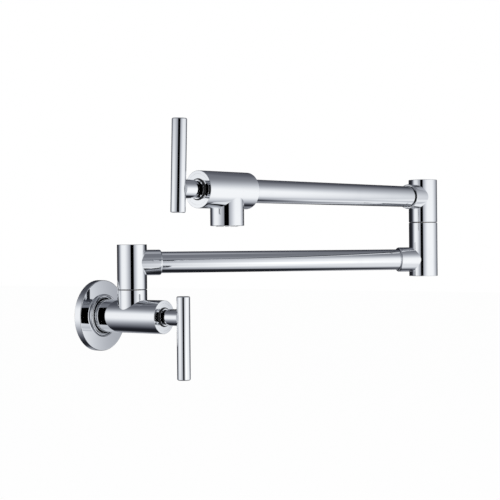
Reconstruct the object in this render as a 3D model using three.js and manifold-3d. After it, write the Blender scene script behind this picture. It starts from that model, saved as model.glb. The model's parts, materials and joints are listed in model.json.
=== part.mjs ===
// Wall mounted pot filler with a double-jointed folding arm. Millimetres, +Z up.
// The origin is the centre of the flange's back on the wall: +X along the wall, +Y into the wall.
// The arm stands as photographed: half swung out, with its spout folded back in front of the wall.
import * as THREE from "three";
import { mergeVertices } from "three/addons/utils/BufferGeometryUtils.js";
import Module from "manifold-3d";

const wasm = await Module();
wasm.setup();

// ---- Driving dimensions, and the clearances that pieces share ----
const edge = 0.4; // small chamfer on turned edges
const seatGap = 0.3; // between pieces that sit in or on each other
const runGap = 0.3; // radial running clearance
const ringGap = 0.15; // between a seal ring and what it seals

const flange = { radius: 30, depth: 6.4, face: 2.2, rim: 2.7, hubRadius: 18.3, beadHeight: 2.4 };
const nipple = { radius: 10.3, bore: 6.5, inWall: 18, inBody: 14 };
const body = { radius: 13.9, back: 1, face: 71.3, waterway: 6.5 };
const post = { radius: 12.5, fromWall: 37.8, seam: 22.2 };
const sleeve = { lift: 1, armRise: 22.7, crown: 15.2, roof: 5.5 };
const lowerPost = { belowArm: 14.7, aboveArm: 32.4, floor: 6.7 };
const collar = { radius: 10.7, reach: 25, chamferLong: 2.3, chamferDeep: 1.3 };
const tube = { radius: 9, wall: 1.5, stop: 14 };
const arms = { lowerLength: 261, upperLength: 247, lowerYaw: -42, upperYaw: 169.8 };
const head = { front: 30.3, back: 21.1, tubeSeat: 9 };
const outlet = { radius: 12.7, drop: 26.7, pocket: 11.3, pocketDepth: 11.2 };
const waterway = 6; // radius of the drilled way from a valve chamber to its outlet
const spigot = { radius: 8.5, bore: 5.5, height: 15, thread: 7 };
const screwGroove = { floor: 7.3, low: 3.2, high: 6 };
const sealRing = { section: 0.9, grooveFloor: 6.6, grooveWidth: 2.2, lowGroove: 7.6, highGroove: 11.4 };
const washer = { radius: 12, thickness: 0.6 };
const setScrew = { radius: 2, tip: 1.1, inset: 0.4, sunk: 0.3, socket: 1.1, socketDepth: 1.6 };
const cartridge = { pocket: 11.5, pocketDepth: 9.6, chamber: 10.2, seat: 40 };
const bonnet = { bore: 5.6, nose: 7.25, noseHeight: 1.4, sunk: 0.1 };
const housing = { shoulder: 2, barrel: 9, bore: 7.3, boreTop: 14, neck: 5.2, neckTop: 0.2 };
const housingWindow = { width: 9, low: 28, high: 20 };
const seat = { inner: 6.3, outer: 8.8, thickness: 3 };
const disc = { radius: 6.95, thickness: 3, portInner: 1.6, portOuter: 5.4, portAngle: 70 };
const stem = { radius: 4, reach: 13, flat: 3.4, flatLength: 8, driver: 6.8, driverHeight: 3.4, blade: 6 };
const stemRing = { section: 0.55, grooveFloor: 2.9, grooveWidth: 1.8, depth: 9 };
const hub = { radius: 6.45, start: 4.4, end: 15.6, boreEnd: 13.4, peg: 2.8, pegEnd: 17.4 };
const grub = { radius: 1.5, height: 8.5, sunk: 0.15, socket: 0.8, socketDepth: 1.2 };
const bar = { radius: 5.55, length: 68.3, shortEnd: 17.4, stand: 19.5, chamfer: 0.6 };
const baseHandleTurn = 180; // degrees, the base lever hangs with its long end down
const spoutHandleTurn = -2; // degrees, the spout lever leans a little at its closed stop
const shell = { radius: 11, bore: 9.3, lipBore: 8.6, lip: 1.4, height: 9, sunk: 0.2 };
const insert = { radius: 8.3, shoulder: 9, proud: 0.6, shoulderHeight: 3.4 };
const cells = { radius: 0.95, pitch: 3.1, rings: 2 };
const screen = { radius: 9, thickness: 0.5, cellRadius: 1.2, rings: 1 };
const gasket = { inner: 8, thickness: 1.4 };
const sides = { large: 24, medium: 18, small: 12, fine: 8, hexagon: 6 };

const quarterTurn = Math.PI / 2;
const radians = THREE.MathUtils.degToRad;
const overcut = 1; // how far a cutting tool runs past the face it opens

const finishes = {
  chrome: { color: 0xd9dce0, roughness: 0.06, metalness: 1 },
  brass: { color: 0xc9a24a, roughness: 0.35, metalness: 1 },
  steel: { color: 0x9a9da0, roughness: 0.4, metalness: 1 },
  rubber: { color: 0x1c1c1d, roughness: 0.8, metalness: 0 },
  ceramic: { color: 0xeceae4, roughness: 0.3, metalness: 0 },
  nylon: { color: 0xdedfdc, roughness: 0.5, metalness: 0 },
};

// ---- Solids ----
function toSolid(geometry) {
  const loose = geometry.index ? geometry.toNonIndexed() : geometry.clone();
  loose.deleteAttribute("normal");
  loose.deleteAttribute("uv");
  const merged = mergeVertices(loose, 1e-4);
  const vertProperties = merged.attributes.position.array;
  const triVerts = new Uint32Array(merged.index.array);
  return new wasm.Manifold(new wasm.Mesh({ numProp: 3, vertProperties, triVerts }));
}

function toGeometry(solid) {
  const { vertProperties, triVerts } = solid.getMesh();
  const indexed = new THREE.BufferGeometry();
  indexed.setAttribute("position", new THREE.BufferAttribute(vertProperties, 3));
  indexed.setIndex(new THREE.BufferAttribute(triVerts, 1));
  const faceted = indexed.toNonIndexed();
  faceted.computeVertexNormals();
  return faceted;
}

// A solid turned about Z from [radius, height] points that run anticlockwise: outwards along the
// low end, up the outside and back in along the high end.
function turned(profile, count = sides.large) {
  const onAxis = profile[0][0] === 0;
  const outline = onAxis ? profile : [...profile, profile[0]];
  const points = outline.map(([radius, height]) => new THREE.Vector2(radius, height));
  return toSolid(new THREE.LatheGeometry(points, count).rotateX(quarterTurn));
}

function rod(radius, low, high, count = sides.large) {
  return turned([[0, low], [radius, low], [radius, high], [0, high]], count);
}

function chamferedRod(radius, low, high, chamfer, count = sides.large) {
  return turned([
    [0, low], [radius - chamfer, low], [radius, low + chamfer],
    [radius, high - chamfer], [radius - chamfer, high], [0, high],
  ], count);
}

function ring(inner, outer, low, high, count = sides.large) {
  return turned([[inner, low], [outer, low], [outer, high], [inner, high]], count);
}

function sealRingAt(middle, section, height, count = sides.medium) {
  const geometry = new THREE.TorusGeometry(middle, section, sides.hexagon, count);
  return toSolid(geometry.translate(0, 0, height));
}

function block(width, depth, height, x, y, z) {
  return toSolid(new THREE.BoxGeometry(width, depth, height).translate(x, y, z));
}

// What is made along +Z, laid to run along another axis.
const alongX = (solid) => solid.rotate([0, 90, 0]);
const alongMinusX = (solid) => solid.rotate([0, -90, 0]);
const alongY = (solid) => solid.rotate([-90, 0, 0]);
const alongMinusY = (solid) => solid.rotate([90, 0, 0]);

const join = (first, ...others) => others.reduce((sum, other) => sum.add(other), first);
const cut = (first, ...tools) => tools.reduce((left, tool) => left.subtract(tool), first);

function piece(parent, name, finish, solid) {
  const mesh = new THREE.Mesh(toGeometry(solid), new THREE.MeshStandardMaterial(finishes[finish]));
  mesh.name = name;
  parent.add(mesh);
}

function frameIn(parent, x, y, z, turn = 0) {
  const frame = new THREE.Group();
  frame.position.set(x, y, z);
  frame.rotation.z = radians(turn);
  parent.add(frame);
  return frame;
}

// Turns a frame so that its +Z points along outward, and its +Y up.
function faceTowards(frame, outward) {
  const up = new THREE.Vector3(0, 0, 1);
  const side = new THREE.Vector3().crossVectors(up, outward);
  frame.setRotationFromMatrix(new THREE.Matrix4().makeBasis(side, up, outward));
  return frame;
}

// ---- Valve cartridge, in a frame whose z = 0 is the valve's face and +Z points out of it ----
function cartridgePocket() {
  const { pocket, pocketDepth, chamber, seat: seatDepth } = cartridge;
  return turned([
    [0, -seatDepth], [chamber, -seatDepth], [chamber, -pocketDepth],
    [pocket, -pocketDepth], [pocket, overcut], [0, overcut],
  ]);
}

const shoulderFloor = -cartridge.pocketDepth + seatGap;
const shoulderTop = shoulderFloor + housing.shoulder;
const seatTop = -cartridge.seat + seatGap + seat.thickness;
const housingEnd = seatTop + seatGap;
const movingDiscLow = housingEnd + disc.thickness + seatGap;
const driverLow = movingDiscLow + disc.thickness + seatGap;
const driverTop = driverLow + stem.driverHeight;

// The screwed ring that holds the cartridge down, with a low nose round the stem.
function bonnetRing() {
  const { bore, nose, noseHeight, sunk } = bonnet;
  const low = shoulderTop + seatGap;
  const outer = cartridge.pocket - seatGap;
  return turned([
    [bore, low], [outer, low], [outer, -sunk], [nose, -sunk],
    [nose, noseHeight - edge], [nose - edge, noseHeight], [bore, noseHeight],
  ]);
}

function housingSolid() {
  const stemBore = stem.radius + runGap;
  const turnedShape = turned([
    [housing.bore, housingEnd], [housing.barrel, housingEnd], [housing.barrel, shoulderFloor],
    [cartridge.pocket - seatGap, shoulderFloor], [cartridge.pocket - seatGap, shoulderTop],
    [housing.neck, shoulderTop], [housing.neck, -housing.neckTop], [stemBore, -housing.neckTop],
    [stemBore, -housing.boreTop], [housing.bore, -housing.boreTop],
  ], sides.medium);
  const middle = -(housingWindow.low + housingWindow.high) / 2;
  const tall = housingWindow.low - housingWindow.high;
  return cut(turnedShape, block(housingWindow.width, 3 * housing.barrel, tall, 0, 0, middle));
}

function seatRing() {
  return ring(seat.inner, seat.outer, -cartridge.seat + seatGap, seatTop, sides.small);
}

// A sector-shaped port, swept through the disc at the angle given in degrees.
function portCutter(low, angle) {
  const half = radians(disc.portAngle / 2);
  const outline = new THREE.Shape();
  outline.absarc(0, 0, disc.portOuter, radians(angle) - half, radians(angle) + half, false);
  outline.absarc(0, 0, disc.portInner, radians(angle) + half, radians(angle) - half, true);
  outline.closePath();
  const settings = { depth: disc.thickness + 2 * overcut, bevelEnabled: false, curveSegments: 6 };
  return toSolid(new THREE.ExtrudeGeometry(outline, settings).translate(0, 0, low - overcut));
}

function portedDisc(low, portAngle) {
  const plate = rod(disc.radius, low, low + disc.thickness, sides.small);
  return cut(plate, portCutter(low, portAngle), portCutter(low, portAngle + 180));
}

function stemSolid() {
  const grooveLow = -stemRing.depth - stemRing.grooveWidth / 2;
  const grooveHigh = grooveLow + stemRing.grooveWidth;
  const spindle = turned([
    [0, driverLow], [stem.driver, driverLow], [stem.driver, driverTop], [stem.radius, driverTop],
    [stem.radius, grooveLow], [stemRing.grooveFloor, grooveLow], [stemRing.grooveFloor, grooveHigh],
    [stem.radius, grooveHigh], [stem.radius, stem.reach - edge], [stem.radius - edge, stem.reach],
    [0, stem.reach],
  ], sides.small);
  const flatDepth = stem.radius;
  const flatCutter = block(
    3 * stem.radius, flatDepth, stem.flatLength + overcut,
    0, -stem.flat - flatDepth / 2, stem.reach - stem.flatLength / 2 + overcut / 2,
  );
  const notches = [1, -1].map((side) => block(
    stem.driver, 3 * stem.driver, stem.driverHeight + overcut,
    side * (stem.blade + stem.driver) / 2, 0, driverLow + (stem.driverHeight - overcut) / 2 - 0.01,
  ));
  const blade = rod(stem.radius, driverLow + seatGap, driverTop, sides.small);
  return join(cut(spindle, flatCutter, ...notches), blade);
}

function stemSealRing() {
  const middle = stemRing.grooveFloor + ringGap + stemRing.section;
  return sealRingAt(middle, stemRing.section, -stemRing.depth, sides.small);
}

function grubSolid() {
  const low = stem.flat + seatGap;
  const high = hub.radius - grub.sunk;
  const screw = rod(grub.radius, low, high, sides.fine);
  const socket = rod(grub.socket, high - grub.socketDepth, high + overcut, sides.hexagon);
  return alongMinusY(cut(screw, socket)).translate([0, 0, grub.height]);
}

// The lever bar lies along +Y, across the valve's axis, with its long end up.
function barSolid() {
  const low = -bar.shortEnd;
  const plain = alongY(chamferedRod(bar.radius, low, low + bar.length, bar.chamfer));
  const pegHole = rod(hub.peg + seatGap, 0, hub.pegEnd + seatGap, sides.small);
  return cut(plain.translate([0, 0, bar.stand]), pegHole);
}

function hubSolid() {
  const outside = chamferedRod(hub.radius, hub.start, hub.end, edge, sides.large);
  const reach = 2 * hub.radius;
  const saddle = alongY(rod(bar.radius + seatGap, -reach, reach)).translate([0, 0, bar.stand]);
  const peg = rod(hub.peg, hub.boreEnd, hub.pegEnd, sides.small);
  const stemBore = rod(stem.radius + ringGap, 0, hub.boreEnd, sides.small);
  const grubHole = alongMinusY(rod(grub.radius + seatGap, 0, 2 * hub.radius, sides.fine));
  return cut(join(cut(outside, saddle), peg), stemBore, grubHole.translate([0, 0, grub.height]));
}

function addValve(parent, handleParent, name) {
  piece(parent, name + "_bonnet_ring", "chrome", bonnetRing());
  piece(parent, name + "_cartridge_housing", "brass", housingSolid());
  piece(parent, name + "_cartridge_seal", "rubber", seatRing());
  piece(parent, name + "_fixed_disc", "ceramic", portedDisc(housingEnd, 0));
  piece(handleParent, name + "_moving_disc", "ceramic", portedDisc(movingDiscLow, 90));
  piece(handleParent, name + "_valve_stem", "brass", stemSolid());
  piece(handleParent, name + "_stem_seal", "rubber", stemSealRing());
  piece(handleParent, name + "_handle_hub", "chrome", hubSolid());
  piece(handleParent, name + "_handle_screw", "steel", grubSolid());
  piece(handleParent, name + "_handle_bar", "chrome", barSolid());
}

// ---- Swivel: a spigot that screws into the post below z = 0 and stands in the sleeve above ----
function spigotSolid() {
  const { radius, bore, height, thread } = spigot;
  const { grooveFloor, grooveWidth, lowGroove, highGroove } = sealRing;
  const groove = (low, wide, floor) => [
    [radius, low], [floor, low], [floor, low + wide], [radius, low + wide],
  ];
  return turned([
    [bore, -thread], [radius - edge, -thread], [radius, -thread + edge],
    ...groove(screwGroove.low, screwGroove.high - screwGroove.low, screwGroove.floor),
    ...groove(lowGroove, grooveWidth, grooveFloor), ...groove(highGroove, grooveWidth, grooveFloor),
    [radius, height - edge], [radius - edge, height], [bore, height],
  ], sides.medium);
}

function addSwivel(parent, name) {
  const middle = sealRing.grooveFloor + ringGap + sealRing.section;
  const washerLow = (sleeve.lift - washer.thickness) / 2;
  const washerTop = washerLow + washer.thickness;
  const grooves = { lower: sealRing.lowGroove, upper: sealRing.highGroove };
  piece(parent, name + "_spigot", "brass", spigotSolid());
  piece(parent, name + "_swivel_washer", "nylon", ring(spigot.radius + runGap, washer.radius, washerLow, washerTop));
  for (const [place, low] of Object.entries(grooves)) {
    const ringSolid = sealRingAt(middle, sealRing.section, low + sealRing.grooveWidth / 2);
    piece(parent, name + "_" + place + "_o_ring", "rubber", ringSolid);
  }
}

// The collar that a tube is soldered into, along +Z from the post's axis.
function collarSolid() {
  const { radius, reach, chamferLong, chamferDeep } = collar;
  return turned([
    [0, 0], [radius, 0], [radius, reach - chamferLong], [radius - chamferDeep, reach], [0, reach],
  ]);
}

// Cuts the tube's socket and the way from it into the post.
function tubeWay() {
  const stop = tube.stop - seatGap;
  const socket = tube.radius + seatGap;
  return turned([
    [0, 0], [tube.radius - tube.wall, 0], [tube.radius - tube.wall, stop], [socket, stop],
    [socket, collar.reach + overcut], [0, collar.reach + overcut],
  ]);
}

// The turning sleeve of either joint: z = 0 is the top of the post below it.
function sleeveSolid() {
  const top = sleeve.armRise + sleeve.crown;
  const shellOutside = chamferedRod(post.radius, sleeve.lift, top, edge);
  const raised = [0, 0, sleeve.armRise];
  const screwHole = alongMinusX(rod(setScrew.radius + seatGap, 0, 2 * post.radius, sides.small));
  return cut(
    join(shellOutside, alongX(collarSolid()).translate(raised)),
    rod(spigot.radius + runGap, 0, top - sleeve.roof),
    alongX(tubeWay()).translate(raised),
    screwHole.translate([0, 0, (screwGroove.low + screwGroove.high) / 2]),
  );
}

function setScrewSolid() {
  const { radius, tip, inset, sunk, socket, socketDepth } = setScrew;
  const tipStart = screwGroove.floor + seatGap;
  const shoulder = spigot.radius + runGap + inset;
  const end = post.radius - sunk;
  const screw = turned([
    [0, tipStart], [tip, tipStart], [tip, shoulder], [radius, shoulder], [radius, end], [0, end],
  ], sides.small);
  const key = rod(socket, end - socketDepth, end + overcut, sides.hexagon);
  const height = (screwGroove.low + screwGroove.high) / 2;
  return alongMinusX(cut(screw, key)).translate([0, 0, height]);
}

// The lower half of the elbow: z = 0 is the arm's axis, and the arm comes in along -X.
function lowerPostSolid() {
  const { belowArm, aboveArm, floor } = lowerPost;
  const chamber = tube.radius - tube.wall;
  return cut(
    join(chamferedRod(post.radius, -belowArm, aboveArm, edge), alongMinusX(collarSolid())),
    rod(chamber, -belowArm + floor, aboveArm + overcut),
    rod(spigot.radius + seatGap, aboveArm - spigot.thread - seatGap, aboveArm + overcut),
    alongMinusX(tubeWay()),
  );
}

function armTube(from, to) {
  return alongX(ring(tube.radius - tube.wall, tube.radius, from, to));
}

// ---- Wall pieces, in the wall frame: +Z points out of the wall and +Y up ----
function flangeSolid() {
  const bore = body.radius + seatGap;
  const beadMiddle = (flange.hubRadius + bore) / 2;
  const beadHalf = (flange.hubRadius - bore) / 2;
  const beadSteps = 6;
  const bead = Array.from({ length: beadSteps + 1 }, (_, step) => {
    const angle = (step / beadSteps) * Math.PI;
    const radius = beadMiddle + beadHalf * Math.cos(angle);
    return [radius, flange.depth + flange.beadHeight * Math.sin(angle)];
  });
  const grooveFloor = bore + 2 * sealRing.section;
  const grooveLow = (flange.depth - sealRing.grooveWidth) / 2;
  const grooveHigh = grooveLow + sealRing.grooveWidth;
  const inside = flange.radius - flange.rim;
  const underFace = flange.depth - flange.face;
  return turned([
    [bore, body.back], [flange.hubRadius, body.back], [flange.hubRadius, underFace],
    [inside, underFace], [inside, 0], [flange.radius, 0],
    [flange.radius, flange.depth - edge], [flange.radius - edge, flange.depth], ...bead,
    [bore, grooveHigh], [grooveFloor, grooveHigh], [grooveFloor, grooveLow], [bore, grooveLow],
  ]);
}

function valveBodySolid() {
  const socketEnd = body.back + nipple.inBody;
  const seatPlace = body.face - cartridge.seat;
  const upright = (solid) => alongY(solid).translate([0, 0, post.fromWall]);
  const threadFloor = post.seam - spigot.thread - seatGap;
  return cut(
    join(
      chamferedRod(body.radius, body.back, body.face, edge),
      upright(rod(post.radius, 0, post.seam)),
    ),
    rod(nipple.radius + seatGap, 0, socketEnd),
    rod(body.waterway, socketEnd - overcut, seatPlace + overcut),
    cartridgePocket().translate([0, 0, body.face]),
    upright(rod(waterway, 0, post.seam)),
    upright(rod(spigot.radius + seatGap, threadFloor, post.seam + overcut)),
  );
}

function nippleSolid() {
  const { radius, bore, inWall, inBody } = nipple;
  const end = body.back + inBody - seatGap;
  return turned([
    [bore, -inWall], [radius - edge, -inWall], [radius, -inWall + edge],
    [radius, end - edge], [radius - edge, end], [bore, end],
  ], sides.medium);
}

function flangeSeal() {
  const middle = body.radius + ringGap + sealRing.section;
  return sealRingAt(middle, sealRing.section, flange.depth / 2, sides.large);
}

// ---- Spout head: z = 0 and y = 0 on the arm's axis, x = 0 on the outlet's, +X away from the elbow ----
function headSolid() {
  const { front, back, tubeSeat } = head;
  const { radius, drop, pocket, pocketDepth } = outlet;
  const tubeFloor = -back + tubeSeat + seatGap;
  const seatPlace = front - cartridge.seat;
  return cut(
    join(
      alongX(chamferedRod(body.radius, -back, front, edge)),
      turned([[0, -drop], [radius - edge, -drop], [radius, edge - drop], [radius, 0], [0, 0]]),
    ),
    alongX(rod(tube.radius + seatGap, -back - overcut, tubeFloor)),
    alongX(rod(body.waterway, tubeFloor - overcut, seatPlace + overcut)),
    alongX(cartridgePocket()).translate([front, 0, 0]),
    rod(waterway, -drop, 0),
    rod(pocket, -drop - overcut, -drop + pocketDepth),
  );
}

// ---- Aerator, in a frame whose z = 0 is the outlet's rim and +Z points up into it ----
function shellSolid() {
  const { radius, bore, lipBore, lip, height, sunk } = shell;
  return turned([
    [lipBore, sunk], [radius - edge, sunk], [radius, sunk + edge], [radius, sunk + height],
    [bore, sunk + height], [bore, sunk + lip], [lipBore, sunk + lip],
  ], sides.medium);
}

// Holes in rings about a middle one, six more in each ring.
function cellCutters(low, high, radius, rings) {
  const cutters = [rod(radius, low, high, sides.hexagon)];
  for (let circle = 1; circle <= rings; circle += 1) {
    for (let index = 0; index < 6 * circle; index += 1) {
      const angle = (index / (6 * circle)) * 2 * Math.PI;
      const reach = circle * cells.pitch;
      const place = [reach * Math.cos(angle), reach * Math.sin(angle), 0];
      cutters.push(rod(radius, low, high, sides.hexagon).translate(place));
    }
  }
  return cutters;
}

const insertStep = shell.sunk + shell.lip + seatGap;
const insertTop = insertStep + insert.shoulderHeight;

function insertSolid() {
  const { radius, shoulder, proud } = insert;
  const plug = turned([
    [0, -proud], [radius - edge, -proud], [radius, edge - proud], [radius, insertStep],
    [shoulder, insertStep], [shoulder, insertTop], [0, insertTop],
  ], sides.medium);
  return cut(plug, ...cellCutters(-proud - overcut, insertTop + overcut, cells.radius, cells.rings));
}

function screenSolid() {
  const low = insertTop + seatGap;
  const top = low + screen.thickness;
  const plate = rod(screen.radius, low, top, sides.small);
  return cut(plate, ...cellCutters(low - overcut, top + overcut, screen.cellRadius, screen.rings));
}

function gasketSolid() {
  const low = shell.sunk + shell.height + seatGap;
  return ring(gasket.inner, shell.radius, low, low + gasket.thickness, sides.medium);
}

// ---- Assembly ----
function addWallPieces(potFiller) {
  const wall = faceTowards(frameIn(potFiller, 0, 0, 0), new THREE.Vector3(0, -1, 0));
  piece(wall, "wall_flange", "chrome", flangeSolid());
  piece(wall, "flange_o_ring", "rubber", flangeSeal());
  piece(wall, "inlet_nipple", "brass", nippleSolid());
  piece(wall, "base_valve_body", "chrome", valveBodySolid());
  const valve = frameIn(wall, 0, 0, body.face);
  addValve(valve, frameIn(valve, 0, 0, 0, baseHandleTurn), "base");
}

function addLowerArm(joint) {
  piece(joint, "base_swivel_sleeve", "chrome", sleeveSolid());
  piece(joint, "base_sleeve_screw", "steel", setScrewSolid());
  const axis = frameIn(joint, 0, 0, sleeve.armRise);
  piece(axis, "lower_arm_tube", "chrome", armTube(tube.stop, arms.lowerLength - tube.stop));
  piece(frameIn(axis, arms.lowerLength, 0, 0), "elbow_lower_post", "chrome", lowerPostSolid());
  addSwivel(frameIn(axis, arms.lowerLength, 0, lowerPost.aboveArm), "elbow");
}

function addUpperArm(joint) {
  piece(joint, "elbow_swivel_sleeve", "chrome", sleeveSolid());
  piece(joint, "elbow_sleeve_screw", "steel", setScrewSolid());
  const axis = frameIn(joint, 0, 0, sleeve.armRise);
  const tubeEnd = arms.upperLength - head.back + head.tubeSeat;
  piece(axis, "upper_arm_tube", "chrome", armTube(tube.stop, tubeEnd));
  const spout = frameIn(axis, arms.upperLength, 0, 0);
  piece(spout, "spout_head", "chrome", headSolid());
  const valve = faceTowards(frameIn(spout, head.front, 0, 0), new THREE.Vector3(1, 0, 0));
  addValve(valve, frameIn(valve, 0, 0, 0, spoutHandleTurn), "spout");
  const rim = frameIn(spout, 0, 0, -outlet.drop);
  piece(rim, "aerator_shell", "chrome", shellSolid());
  piece(rim, "aerator_insert", "nylon", insertSolid());
  piece(rim, "aerator_screen", "steel", screenSolid());
  piece(rim, "aerator_washer", "rubber", gasketSolid());
}

const potFiller = new THREE.Group();
addWallPieces(potFiller);
const basePost = frameIn(potFiller, 0, -post.fromWall, post.seam);
addSwivel(basePost, "base");
const lowerArm = frameIn(basePost, 0, 0, 0, arms.lowerYaw);
addLowerArm(lowerArm);
const elbowRise = sleeve.armRise + lowerPost.aboveArm;
const elbowTurn = arms.upperYaw - arms.lowerYaw;
addUpperArm(frameIn(lowerArm, arms.lowerLength, 0, elbowRise, elbowTurn));

export default potFiller;
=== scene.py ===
import json
import math

import bmesh
import bpy
from mathutils import Matrix, Vector


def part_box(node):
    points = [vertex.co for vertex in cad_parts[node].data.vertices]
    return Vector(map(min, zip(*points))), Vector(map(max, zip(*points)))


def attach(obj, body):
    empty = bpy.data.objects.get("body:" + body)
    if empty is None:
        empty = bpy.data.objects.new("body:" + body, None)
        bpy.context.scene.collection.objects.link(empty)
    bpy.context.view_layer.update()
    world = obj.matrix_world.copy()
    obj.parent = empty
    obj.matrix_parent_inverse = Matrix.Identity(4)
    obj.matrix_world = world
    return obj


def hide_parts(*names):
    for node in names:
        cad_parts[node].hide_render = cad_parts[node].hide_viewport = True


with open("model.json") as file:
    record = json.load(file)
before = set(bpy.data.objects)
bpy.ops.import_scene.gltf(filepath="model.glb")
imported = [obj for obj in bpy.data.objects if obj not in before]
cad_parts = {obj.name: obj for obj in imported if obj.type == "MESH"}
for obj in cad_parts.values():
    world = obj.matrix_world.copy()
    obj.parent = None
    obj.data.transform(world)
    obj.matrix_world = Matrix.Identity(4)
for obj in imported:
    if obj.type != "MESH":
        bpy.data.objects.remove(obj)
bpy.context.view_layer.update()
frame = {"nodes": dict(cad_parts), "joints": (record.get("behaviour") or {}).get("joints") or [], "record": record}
print("frame loaded:", len(frame["nodes"]), "nodes")

mm = 0.001
up = Vector((0, 0, 1))
joints = {joint["name"]: joint for joint in frame["joints"]}


def middle(node):
    low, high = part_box(node)
    return (low + high) / 2


# the camera stands where the photograph was taken from
shot = {
    "place": (-0.849076, -0.718829, 0.058745),
    "ahead": (0.8337006, 0.5522040, -0.0037583),
    "up": (0.0078728, -0.0050804, 0.9999561),
    "focal": 93.2,  # mm
    "sensor": 36,  # mm across
    "near": 0.01,
}


def addCamera():
    ahead = Vector(shot["ahead"]).normalized()
    right = ahead.cross(Vector(shot["up"])).normalized()
    turn = Matrix((right, right.cross(ahead), -ahead)).transposed()
    data = bpy.data.cameras.new("camera")
    data.sensor_width = shot["sensor"]
    data.lens = shot["focal"]
    data.clip_start = shot["near"]
    camera = bpy.data.objects.new("camera", data)
    camera.matrix_world = Matrix.Translation(shot["place"]) @ turn.to_4x4()
    bpy.context.scene.collection.objects.link(camera)
    bpy.context.scene.camera = camera


addCamera()
print("camera set")


# an output socket that can be used in arithmetic
class Wire:
    def __init__(self, graph, socket):
        self.graph = graph
        self.socket = socket

    def math(self, operation, *others):
        values = dict(enumerate((self, *others)))
        return self.graph.add("ShaderNodeMath", {"operation": operation}, values)

    def __add__(self, other):
        return self.math("ADD", other)

    def __sub__(self, other):
        return self.math("SUBTRACT", other)

    def __rsub__(self, other):
        return self.graph.add("ShaderNodeMath", {"operation": "SUBTRACT"}, {0: other, 1: self})

    def __mul__(self, other):
        return self.math("MULTIPLY", other)


class Graph:
    def __init__(self, tree):
        self.tree = tree
        tree.nodes.clear()

    # a node's settings are set first, then its sockets get values or wires
    def add(self, kind, settings=None, sockets=None, output=0):
        node = self.tree.nodes.new(kind)
        for name, value in (settings or {}).items():
            if name == "stops":
                self.setStops(node.color_ramp, value)
            else:
                setattr(node, name, value)
        for name, value in (sockets or {}).items():
            if isinstance(value, Wire):
                self.tree.links.new(value.socket, node.inputs[name])
            else:
                node.inputs[name].default_value = value
        return Wire(self, node.outputs[output]) if node.outputs else None

    def setStops(self, ramp, stops):
        while len(ramp.elements) < len(stops):
            ramp.elements.new(1)
        for element, (place, colour) in zip(ramp.elements, stops):
            shade = colour if isinstance(colour, tuple) else (colour, colour, colour)
            element.position = place
            element.color = (*shade, 1)

    def noise(self, where, scale, detail=2.0, roughness=0.5):
        sockets = {"Vector": where, "Scale": scale, "Detail": detail, "Roughness": roughness}
        return self.add("ShaderNodeTexNoise", {}, sockets)

    def ranged(self, value, low, high, newLow=0.0, newHigh=1.0):
        ends = {"From Min": low, "From Max": high, "To Min": newLow, "To Max": newHigh}
        smooth = {"interpolation_type": "SMOOTHSTEP"}
        return self.add("ShaderNodeMapRange", smooth, {"Value": value, **ends})

    def mixed(self, factor, first, second):
        sockets = {"Factor": factor, 6: (*first, 1), 7: (*second, 1)}
        return self.add("ShaderNodeMix", {"data_type": "RGBA"}, sockets, output=2)

    def bump(self, height, strength, distance):
        sockets = {"Height": height, "Strength": strength, "Distance": distance}
        return self.add("ShaderNodeBump", {}, sockets)

    def surface(self, **sockets):
        named = {name.replace("_", " "): value for name, value in sockets.items()}
        shader = self.add("ShaderNodeBsdfPrincipled", {}, named)
        self.add("ShaderNodeOutputMaterial", {}, {"Surface": shader})


def newMaterial(name):
    material = bpy.data.materials.new(name)
    material.use_nodes = True
    graph = Graph(material.node_tree)
    where = graph.add("ShaderNodeTexCoord", {}, {}, output=3)
    return material, graph, where


def stretched(graph, where, scale, turn=(0, 0, 0)):
    return graph.add("ShaderNodeMapping", {}, {"Vector": where, "Scale": scale, "Rotation": turn})


# in a finish, a pattern is a noise's scale, detail and roughness, and its range is the part of the
# noise that shows; a bump is its strength and its depth in metres
chrome = {
    "clear": (0.875, 0.885, 0.9), "dull": (0.84, 0.85, 0.87), "roughness": 0.022,
    "film": (45, 4, 0.6), "filmRange": (0.52, 0.75), "filmRoughness": 0.035, "filmShare": 0.7,
    "spots": (260, 2, 0.5), "spotRange": (0.66, 0.74), "spotRoughness": 0.02, "spotShare": 0.3,
    "buffing": (900, 900, 9000), "buffingTurn": (0.4, 0.3, 0.2), "lines": (1, 3, 0.7),
    "lineRange": (0.62, 0.8), "lineRoughness": 0.03, "lineHeight": 0.002,
    "swell": (38, 1, 0.4), "bump": (0.2, 0.00006),
}


# fingers and drying water leave a film and spots, and buffing leaves hairlines
def polishedChrome():
    material, graph, where = newMaterial("polishedChrome")
    film = graph.ranged(graph.noise(where, *chrome["film"]), *chrome["filmRange"])
    spots = graph.ranged(graph.noise(where, *chrome["spots"]), *chrome["spotRange"])
    buffed = stretched(graph, where, chrome["buffing"], chrome["buffingTurn"])
    lines = graph.ranged(graph.noise(buffed, *chrome["lines"]), *chrome["lineRange"])
    marks = film * chrome["filmRoughness"] + lines * chrome["lineRoughness"]
    marks = marks + spots * chrome["spotRoughness"]
    share = film * chrome["filmShare"] + spots * chrome["spotShare"]
    swell = graph.noise(where, *chrome["swell"])
    graph.surface(
        Base_Color=graph.mixed(share, chrome["clear"], chrome["dull"]), Metallic=1.0,
        Roughness=marks + chrome["roughness"],
        Normal=graph.bump(swell + lines * chrome["lineHeight"], *chrome["bump"]),
    )
    return material


brass = {
    "bright": (0.78, 0.6, 0.3), "tarnish": (0.5, 0.33, 0.14), "roughness": 0.18,
    "age": (160, 5, 0.6), "ageRange": (0.45, 0.7), "ageRoughness": 0.25,
    "turning": (60, 5200, 5200), "lines": (1, 3, 0.6), "lineRoughness": 0.12, "bump": (0.4, 0.00002),
}


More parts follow.
